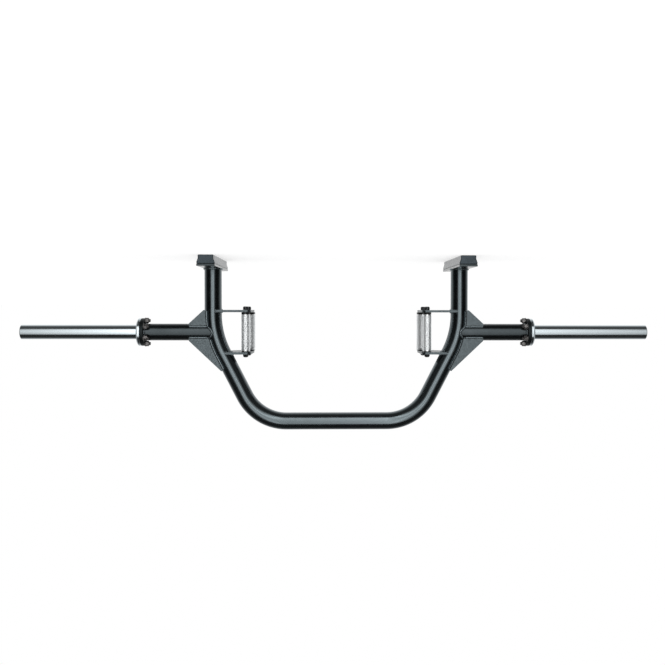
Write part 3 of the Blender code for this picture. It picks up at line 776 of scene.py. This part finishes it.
def flange_studs():
    """Six studs a side, from the one above the sleeve's axis round."""
    stud = flange_stud()
    for name, side in SIDES:
        for number, nut_turn in enumerate(NUT_TURNS, start=1):
            place = (
                at(side * ARM_FLANGE_FACE, 0, SLEEVE_HEIGHT)
                @ Matrix.Rotation(math.tau * (number - 1) / STUD_COUNT, 4, "X")
                @ at(0, 0, STUD_CIRCLE) @ Matrix.Rotation(-side * math.pi / 2, 4, "Y")
                @ Matrix.Rotation(math.radians(nut_turn), 4, "Z"))
            placed(stud, f"stud_nut_and_washer_{number}_{name}", place, 30,
                   nut_steel, "black_oxide", "frame", f"flange_stud_{number}_{name}")
    discard(stud)


arm_core = solid_arm()
arm()
bolted_flanges()
plate_sleeve()
flange_studs()


# Gussets

def gusset(name, low, high, saw_cuts):
    """A plate between two (x, z) corners, sawn to its slope, edges broken, and cut to the tubes."""
    plate = block(name, (low[0], -GUSSET_FRONT, low[1]), (high[0], GUSSET_THICKNESS - GUSSET_FRONT, high[1]))
    for point, normal in saw_cuts:
        saw(plate, (point[0], 0, point[1]), (normal[0], 0, normal[1]))
    break_edges(plate, 0.0005)
    cut(plate, frame_core, arm_core)
    return round_shading(plate)


def gussets():
    """The foot side and crown side gussets, each with a mirrored twin at the rear."""
    leg_x = leg_at(SLEEVE_HEIGHT)[0]
    foot_toe = Vector((LEG_X + FRAME_RADIUS + COVER, SLEEVE_HEIGHT - GUSSET_FOOT_DROP))
    arm_toe = Vector((GUSSET_REACH, SLEEVE_HEIGHT - ARM_RADIUS - COVER))
    slope = foot_toe - arm_toe
    foot = gusset(
        "gusset_foot", (leg_x, foot_toe.y), (GUSSET_REACH, SLEEVE_HEIGHT), [(arm_toe, (-slope.y, slope.x))])

    height = SLEEVE_HEIGHT + GUSSET_CROWN_RISE
    centre_x = leg_at(height)[0]
    normal = Vector((math.cos(LEG_TURN), math.sin(LEG_TURN)))
    crown_toe = Vector((centre_x, height)) + normal * (FRAME_RADIUS + COVER)
    arm_toe = Vector((GUSSET_REACH, SLEEVE_HEIGHT + ARM_RADIUS + COVER))
    slope = crown_toe - arm_toe
    chord = Vector((centre_x - leg_x, height - SLEEVE_HEIGHT))
    crown = gusset(
        "gusset_crown", (centre_x - 0.01, SLEEVE_HEIGHT), (GUSSET_REACH, crown_toe.y + 0.02),
        [(arm_toe, (slope.y, -slope.x)), (crown_toe, (-normal.y, normal.x)),
         ((leg_x, SLEEVE_HEIGHT), (-chord.y, chord.x))])

    for front, level in ((foot, "foot"), (crown, "crown")):
        rear = round_shading(copy_of(front, f"{front.name}_rear", MIRROR_Y))
        for plate, place in ((front, "front"), (rear, "rear")):
            on_both_sides(
                plate, f"gusset_plate_{level}_{place}", plate_coat, "satin_black_coat",
                f"gusset_{level}_{place}")


gussets()


# Handle plates

def handle_plate(level, bottom):
    """A plate with its inner corners rounded and its outer back corner cut off, fitted round the leg."""
    outer, top = leg_at(bottom + PLATE_THICKNESS / 2)[0] - PLATE_INTO_LEG, bottom + PLATE_THICKNESS
    half_way = (PLATE_INNER + outer) / 2
    plate = block(f"plate_{level}", (PLATE_INNER, PLATE_FRONT, bottom), (outer, PLATE_BACK, top))

    def upright(edge):
        return abs(edge.verts[0].co.z - edge.verts[1].co.z) > PLATE_THICKNESS / 2

    bevel_edges(plate, lambda e: upright(e) and middle(e).x < half_way, PLATE_ROUND, 12)
    bevel_edges(plate, lambda e: upright(e) and middle(e).x > half_way and middle(e).y > 0, PLATE_CUT, 1)
    break_edges(plate)
    cut(plate, frame_core)
    for depth in (0, GRIP_PITCH):
        drill = turned("drill", [(BOLT_HOLE, bottom - 0.01), (BOLT_HOLE, top + 0.01)], 32)
        put(drill, at(GRIP_X, depth, 0))
        cut(plate, drill)
        discard(drill)
    round_shading(plate)
    on_both_sides(
        plate, f"handle_side_plate_{level}", plate_coat, "satin_black_coat", f"handle_plate_{level}")


PLATE_BOTTOMS = {
    "foot": SLEEVE_HEIGHT - PLATE_SPAN / 2 - PLATE_THICKNESS,
    "crown": SLEEVE_HEIGHT + PLATE_SPAN / 2,
}
for plate_level, plate_bottom in PLATE_BOTTOMS.items():
    handle_plate(plate_level, plate_bottom)


# Grips

def knurled_tube(radius, wall, bottom, top, around):
    """A tube whose outside is knurled into small diamond pyramids between two plain bands."""
    deselect()
    bpy.ops.mesh.primitive_cylinder_add(
        vertices=around, radius=radius, depth=top - bottom, end_fill_type="NOTHING",
        location=(0, 0, (bottom + top) / 2))
    tube = begin("grip")
    band = PLAIN_ROWS * (top - bottom) / KNURL_ROWS

    def knurled(place, margin=0):
        return bottom + band + margin < place.z < top - band - margin

    def straight(edge):
        run = edge.verts[0].co - edge.verts[1].co
        return abs(run.z) < MERGE or run.xy.length < MERGE

    edit(tube)
    pick(tube, "edges", lambda e: abs(e.verts[0].co.z - e.verts[1].co.z) > MERGE)
    bpy.ops.mesh.subdivide(number_cuts=KNURL_ROWS - 1)

    # Each square gets a middle, and the two triangles beside each of its sides become a diamond
    pick(tube, "faces", lambda f: knurled(middle(f)))
    bpy.ops.mesh.poke()
    pick(tube, "edges", lambda e: straight(e) and all(len(f.verts) == 3 for f in e.link_faces))
    bpy.ops.mesh.dissolve_edges(use_verts=False)

    # The band sinks by the knurl's depth, and each diamond's middle comes back up
    pick(tube, "verts", lambda v: knurled(v.co, 10 * MERGE))
    draw_in(radius - KNURL_DEPTH, radius)
    pick(tube, "faces", lambda f: len(f.verts) == 4 and knurled(middle(f)))
    bpy.ops.mesh.poke(offset=KNURL_DEPTH)

    rim = radius - 0.0008
    for low in (True, False):
        pick(tube, "edges", lambda e: e.is_boundary and (middle(e).z < (bottom + top) / 2) == low)
        bpy.ops.mesh.extrude_region_move()
        draw_in(rim, radius)
        bpy.ops.mesh.extrude_region_move()
        draw_in(radius - wall, rim)
    pick(tube, "edges", lambda e: e.is_boundary)
    bpy.ops.mesh.bridge_edge_loops()
    face_outwards()
    done()
    return tube


def bush(barrel, collar_radius, collar, length=0.018):
    """A flanged bush: its collar from z = 0 down, its barrel up."""
    edge = 0.0005
    return turned("bush", [
        (BOLT_HOLE, -collar), (collar_radius - edge, -collar), (collar_radius, edge - collar),
        (collar_radius, -edge), (collar_radius - edge, 0), (barrel, 0), (barrel, length),
        (BOLT_HOLE, length)], 64, ring=True)


def cap_screw(length):
    """Socket head screw: a ribbed, round-topped head below z = 0, its shank up."""
    radius, sides = 0.009, 72
    dome = [
        (radius - 0.004 * (1 - math.cos(angle)), -0.0075 - 0.0045 * math.sin(angle))
        for angle in (math.radians(step) for step in (80, 65, 50, 35, 20, 0))
    ]
    head = turned("head", [*dome, (radius, -0.0006), (radius - 0.0004, 0)], sides)

    def groove(vert):
        number = round(math.atan2(vert.co.y, vert.co.x) / math.tau * sides)
        return abs(vert.co.xy.length - radius) < 10 * MERGE and number % 2 == 0

    edit(head)
    pick(head, "verts", groove)
    draw_in(0.965 * radius, radius)
    done()
    corner = 0.00577        # of a 10 mm socket
    socket = turned("socket", [(corner, -0.02), (corner, -0.006)], 6)
    cut(head, socket)
    discard(socket)
    shank = turned("shank", [(BOLT_RADIUS, -0.001), (BOLT_RADIUS, length - 0.012)], 32)
    tip = thread(BOLT_RADIUS, BOLT_PITCH, length - 0.013, length)
    return joined("cap_screw", [head, shank, tip])


def lock_nut(bottom, top):
    """Nylon insert lock nut: a hexagon under a round domed collar."""
    hexagon_top = bottom + 0.7 * (top - bottom)
    nut = hex_nut(0.018, bottom, hexagon_top, BOLT_HOLE)
    collar = turned("collar", [
        (BOLT_HOLE, hexagon_top - 0.0005), (0.0086, hexagon_top - 0.0005), (0.0086, top - 0.0016),
        (0.0081, top - 0.0006), (0.0070, top), (BOLT_HOLE, top)], 64, ring=True)
    return joined("lock_nut", [nut, collar])


def grips():
    """The thin and the thick grip with bushes, bolt and nut, each modelled once and placed on both sides."""
    for grip, depth, radius, around in (
            ("thin_grip", 0, THIN_GRIP_RADIUS, 64), ("thick_grip", GRIP_PITCH, THICK_GRIP_RADIUS, 102)):
        low, high = (corner.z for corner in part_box(f"{grip}_right"))
        tube = knurled_tube(radius, GRIP_WALL, low, high, around)
        foot_bush = bush(radius - GRIP_WALL - TOUCH, radius - 0.0005, 0.007)
        crown_bush = bush(radius - GRIP_WALL - TOUCH, radius - 0.001, 0.002)
        head_seat = PLATE_BOTTOMS["foot"] - TOUCH
        nut_seat = PLATE_BOTTOMS["crown"] + PLATE_THICKNESS + TOUCH
        screw = cap_screw(nut_seat + 0.0105 - head_seat)
        nut = lock_nut(nut_seat, nut_seat + 0.0095)
        for name, side in SIDES:
            axis = at(side * GRIP_X, depth, 0)
            foot_end = axis @ at(0, 0, low - TOUCH)
            crown_end = axis @ at(0, 0, high + TOUCH) @ Matrix.Rotation(math.pi, 4, "X")
            plate_end = axis @ at(0, 0, head_seat)
            body = f"{grip}_body_{name}"
            placed(tube, f"knurled_{grip}_{name}", axis, 20,
                   grip_chrome, "knurled_chrome", body, f"{grip}_{name}")
            placed(foot_bush, f"{grip}_foot_end_bush_{name}", foot_end, 35,
                   nylon, "black_nylon", body, f"{grip}_foot_bush_{name}")
            placed(crown_bush, f"{grip}_crown_end_bush_{name}", crown_end, 35,
                   nylon, "black_nylon", body, f"{grip}_crown_bush_{name}")
            placed(screw, f"{grip}_cap_screw_{name}", plate_end, 30,
                   black_steel, "black_oxide", "frame", f"{grip}_bolt_{name}")
            placed(nut, f"{grip}_lock_nut_{name}", axis, 30,
                   black_steel, "black_oxide", "frame", f"{grip}_nut_{name}")
        discard(tube, foot_bush, crown_bush, screw, nut)


grips()


# Feet

def feet():
    """A steel plate on each leg, and under it a rubber pad held by four screws in counterbores."""
    plate = block("foot_plate", *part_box("foot_plate_right"))
    break_edges(plate, 0.0008, 3)
    round_shading(plate)
    on_both_sides(plate, "foot_bearing_plate", foot_coat, "satin_black_coat", "foot_plate")

    half_width, half_length, pad_top = PAD_FLOOR_WIDTH / 2, FOOT_LENGTH / 2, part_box("foot_pad_right")[1].z
    pad = block("pad", (LEG_X - half_width, -half_length, 0), (LEG_X + half_width, half_length, PAD_STEP))
    edit(pad)
    pick(pad, "faces", lambda f: f.normal.z > 0.5)
    draw_out(0, 0, PAD_STEP)
    bpy.ops.transform.resize(value=(PAD_TOP_WIDTH / PAD_FLOOR_WIDTH, 1, 1), center_override=(LEG_X, 0, 0))
    draw_out(0, 0, pad_top - 2 * PAD_STEP)
    done()
    break_edges(pad, 0.0026, 4, 20)
    for offset in PAD_SCREWS:
        place = at(LEG_X, offset, 0)
        bore = put(turned("bore", [(PAD_SCREW_BORE, -0.01), (PAD_SCREW_BORE, 0.0205)], 48), place)
        hole = put(turned("hole", [(PAD_SCREW_HOLE, -0.01), (PAD_SCREW_HOLE, 0.04)], 32), place)
        cut(pad, bore, hole)
        discard(bore, hole)
    round_shading(pad)
    on_both_sides(pad, "rubber_foot_pad", rubber, "foot_rubber", "foot_pad")

    screw = turned("screw", [
        (0.0058, 0.0107), (0.0065, 0.0114), (0.0065, 0.0187), (0.0040, 0.0187), (0.0040, 0.0345)], 48)
    socket = turned("socket", [(0.0029, 0.0), (0.0029, 0.0150)], 6)
    cut(screw, socket)
    discard(socket)
    washer = turned("washer", [
        (PAD_SCREW_HOLE, 0.0189), (0.0083, 0.0189), (0.0085, 0.0191), (0.0085, 0.0203),
        (PAD_SCREW_HOLE, 0.0203)], 48, ring=True)
    pair = joined("pad_screw", [screw, washer])
    for name, side in SIDES:
        for number, offset in enumerate(PAD_SCREWS, start=1):
            place = at(side * LEG_X, offset, 0)
            placed(pair, f"pad_screw_{number}_{name}", place, 35, black_steel, "black_oxide", "frame")
    discard(pair)


feet()


# Welds

def ring_bead(centre, plane, radius):
    """A bead round a circle in the xy or yz plane."""
    points = []
    for step in range(96):
        point = Vector(centre)
        angle = math.tau * step / 96
        for axis, away in zip(plane, (math.cos(angle), math.sin(angle))):
            point["xyz".index(axis)] += radius * away
        points.append(point)
    return bead("bead", points, RING_BEAD, closed=True)


def distance_to_line(point):
    """How far a point is from the frame's centre line."""
    best = 1.0
    for start, end in zip(FRAME_LINE, FRAME_LINE[1:]):
        run = end - start
        share = max(0.0, min(1.0, (point - start).dot(run) / run.length_squared))
        best = min(best, (point - start - share * run).length)
    return best


def saddle_points(count=96):
    """Where the arm's outside meets the leg's outside."""
    points = []
    for step in range(count):
        angle = math.tau * step / count
        radius = ARM_RADIUS + WELD_LIFT
        y, z = radius * math.sin(angle), SLEEVE_HEIGHT + radius * math.cos(angle)
        near, far = leg_at(z)[0], GUSSET_REACH
        for _ in range(30):
            x = (near + far) / 2
            if distance_to_line(Vector((x, y, z))) < FRAME_RADIUS + WELD_LIFT:
                near = x
            else:
                far = x
        points.append((far, y, z))
    return points


def gusset_beads(way, reach):
    """Beads along arm and leg of a front and a rear gusset, towards the foot (-1) or the crown (1)."""
    front = GUSSET_FRONT + 2 * WELD_LIFT
    off_arm = math.sqrt(ARM_RADIUS ** 2 - GUSSET_FRONT ** 2) + WELD_LIFT
    off_leg = math.sqrt(FRAME_RADIUS ** 2 - GUSSET_FRONT ** 2) + WELD_LIFT
    beads = []
    level = SLEEVE_HEIGHT + way * off_arm
    low, high = sorted((level, SLEEVE_HEIGHT + way * (reach - 0.001)))
    for y in (-front, front):
        ends = (leg_at(SLEEVE_HEIGHT)[0] + 0.024, GUSSET_REACH - 0.001)
        beads.append(bead("bead", [(x, y, level) for x in ends], ARM_SEAM_BEAD))
        line = []
        for step in range(25):
            height = low + (high - low) * step / 24
            x, lean = leg_at(height)
            if way < 0:
                lean = 0        # this seam is close to upright
            line.append((x + off_leg * math.cos(lean), y, height + off_leg * math.sin(lean)))
        beads.append(bead("bead", line, LEG_SEAM_BEAD))
    return beads


def handle_plate_beads(bottom):
    """Beads round the inner side of the leg, under and over a handle plate."""
    radius = FRAME_RADIUS + RING_LIFT
    beads = []
    for height, lift in ((bottom, -RING_LIFT), (bottom + PLATE_THICKNESS, RING_LIFT)):
        x, lean = leg_at(height)
        angles = (math.radians(-74 + 148 * step / 48) for step in range(49))
        line = [
            (x - radius / math.cos(lean) * math.cos(angle), radius * math.sin(angle), height + lift)
            for angle in angles
        ]
        beads.append(bead("bead", line, PLATE_BEAD))
    return beads


def welds():
    """Every bead of the right side, with a mirrored twin on the left."""
    beads = {
        "arm_to_leg_weld": [bead("bead", saddle_points(), SADDLE_BEAD, closed=True)],
        "arm_to_flange_weld": [ring_bead(
            (ARM_FLANGE_FACE - 2 * RING_LIFT, 0, SLEEVE_HEIGHT), "yz", ARM_RADIUS + WELD_LIFT)],
        "leg_to_foot_plate_weld": [ring_bead(
            (LEG_X, 0, LEG_END + RING_LIFT), "xy", FRAME_RADIUS + RING_LIFT)],
        "gusset_foot_weld": gusset_beads(-1, GUSSET_FOOT_DROP),
        "gusset_crown_weld": gusset_beads(1, GUSSET_CROWN_RISE),
    }
    for level, bottom in PLATE_BOTTOMS.items():
        beads[f"handle_plate_{level}_weld"] = handle_plate_beads(bottom)
    for stem, pieces in beads.items():
        piece = joined(stem, pieces)
        round_shading(piece, 80)
        on_both_sides(piece, stem, weld_coat_painted_highlight, "satin_black_coat")


welds()
discard(frame_core, arm_core)


# Camera, floor and light

def front_camera():
    """A 50 mm lens 3.2 m in front, rolled over so that the feet are at the top of the picture."""
    data = bpy.data.cameras.new("camera")
    camera = bpy.data.objects.new("camera", data)
    bpy.context.scene.collection.objects.link(camera)
    yaw, pitch, roll = -0.031955, 0.025130, 0.001218
    ahead = Vector((math.sin(yaw) * math.cos(pitch), math.cos(yaw) * math.cos(pitch), math.sin(pitch)))
    across = ahead.cross(Vector((0, 0, 1))).normalized()
    above = across.cross(ahead)
    turn = math.pi + roll
    right = math.cos(turn) * across + math.sin(turn) * above
    up = -math.sin(turn) * across + math.cos(turn) * above
    rows = Matrix((right, up, -ahead)).transposed().to_4x4()
    camera.matrix_world = at(0.04776, -3.2136, 0.18038) @ rows
    picture, focal_length = 665, 916.1      # pixels
    data.sensor_width = 36
    data.lens = focal_length * data.sensor_width / picture
    data.shift_x = -19.81 / picture
    data.shift_y = 0.52 / picture
    data.clip_end = 100
    bpy.context.scene.camera = camera


front_camera()
bpy.context.scene.view_settings.view_transform = "Standard"


def pale_floor():
    """A plain pale floor that takes the object's shadow, and looks white where nothing shades it."""
    deselect()
    bpy.ops.mesh.primitive_plane_add(size=60, location=(0, 0, -0.0005))
    floor = begin("floor")
    made = bpy.data.materials.new("pale_floor")
    made.use_nodes = True
    tree = made.node_tree
    paint = tree.nodes["Principled BSDF"]
    paint.inputs["Base Color"].default_value = linear("#b8b8b8")
    paint.inputs["Roughness"].default_value = 1.0
    paint.inputs["Specular IOR Level"].default_value = 0.0
    seen = node(tree, "LightPath").outputs["Is Camera Ray"]
    share = node(tree, "Math", {"operation": "MULTIPLY", 1: FLOOR_GLOW}, i0=seen)
    glow = node(tree, "Emission", {"Color": (1, 1, 1, 1)}, Strength=share)
    both = node(tree, "AddShader", None, i0=paint, i1=glow)
    tree.links.new(both.outputs[0], tree.nodes["Material Output"].inputs["Surface"])
    floor.data.materials.append(made)
    floor.visible_glossy = False


pale_floor()


def studio():
    """A tall soft window of light behind the camera, a white backdrop behind the object and dim sides.

    What is lit meets the window and a plain level all round. What shines mirrors window, backdrop and sides.
    The camera sees plain white.
    """
    world = bpy.data.worlds.new("studio")
    bpy.context.scene.world = world
    world.use_nodes = True
    tree = world.node_tree
    heading = node(tree, "TexCoord").outputs["Generated"]
    ways = node(tree, "SeparateXYZ", None, Vector=heading).outputs
    ahead = node(tree, "Math", {"operation": "MULTIPLY", 1: -1.0}, i0=ways["Y"])
    bearing = node(tree, "Math", {"operation": "ARCTAN2"}, i0=ways["X"], i1=ahead)
    half_width = math.radians(WINDOW_HALF_WIDTH)
    swing = node(tree, "MapRange", {"From Min": -half_width, "From Max": half_width}, Value=bearing)
    across = node(tree, "ValToRGB", {"stops": WINDOW_ACROSS}, Fac=swing)
    climb = node(tree, "Math", {"operation": "ARCSINE"}, i0=ways["Z"])
    raised = node(tree, "Math", {"operation": "ADD", 1: math.radians(WINDOW_DROP)}, i0=climb)
    aloft = node(tree, "Math", {"operation": "ABSOLUTE"}, i0=raised)
    full, end = (math.radians(angle) for angle in WINDOW_HALF_HEIGHT)
    upright = node(
        tree, "MapRange", {"interpolation_type": "SMOOTHSTEP", "From Min": end, "From Max": full},
        Value=aloft)
    pane = node(tree, "Math", {"operation": "MULTIPLY"}, i0=across, i1=upright)
    window = node(tree, "Math", {"operation": "MULTIPLY", 1: WINDOW_LIGHT}, i0=pane)
    steep = node(tree, "Math", {"operation": "ABSOLUTE"}, i0=ways["Z"])
    past = node(tree, "Math", {"operation": "MULTIPLY_ADD", 1: -BACKDROP_TAPER}, i0=steep, i2=ways["Y"])
    dark, white = BACKDROP_EDGE
    backdrop = node(
        tree, "MapRange", {"interpolation_type": "SMOOTHSTEP", "From Min": dark, "From Max": white},
        Value=past)
    level = node(tree, "MapRange", {"From Min": -1.0, "From Max": 1.0}, Value=ways["Z"])
    sides = node(tree, "ValToRGB", {"stops": SIDE_LIGHT}, Fac=level)
    fading = node(
        tree, "MapRange",
        {"From Min": -FADE_HEIGHT, "From Max": FADE_HEIGHT, "To Min": FADE_SHARES[0],
         "To Max": FADE_SHARES[1]}, Value=ways["Z"])
    bright = node(tree, "Math", {"operation": "MAXIMUM"}, i0=window, i1=backdrop)
    faded = node(tree, "Math", {"operation": "MULTIPLY"}, i0=bright, i1=fading)
    mirrored = node(tree, "Math", {"operation": "ADD"}, i0=faded, i1=sides)
    lit = node(tree, "Math", {"operation": "ADD", 1: PLAIN_LIGHT}, i0=window)
    sight = node(tree, "LightPath").outputs
    met = node(tree, "Mix", {"data_type": "FLOAT"}, i0=sight["Is Glossy Ray"], i2=lit, i3=mirrored)
    seen = node(
        tree, "Math", {"operation": "MAXIMUM"}, i0=sight["Is Camera Ray"], i1=sight["Is Transmission Ray"])
    strength = node(tree, "Mix", {"data_type": "FLOAT", 3: 1.0}, i0=seen, i2=met)
    tree.nodes["Background"].inputs["Color"].default_value = (1, 1, 1, 1)
    tree.links.new(strength.outputs[0], tree.nodes["Background"].inputs["Strength"])


studio()
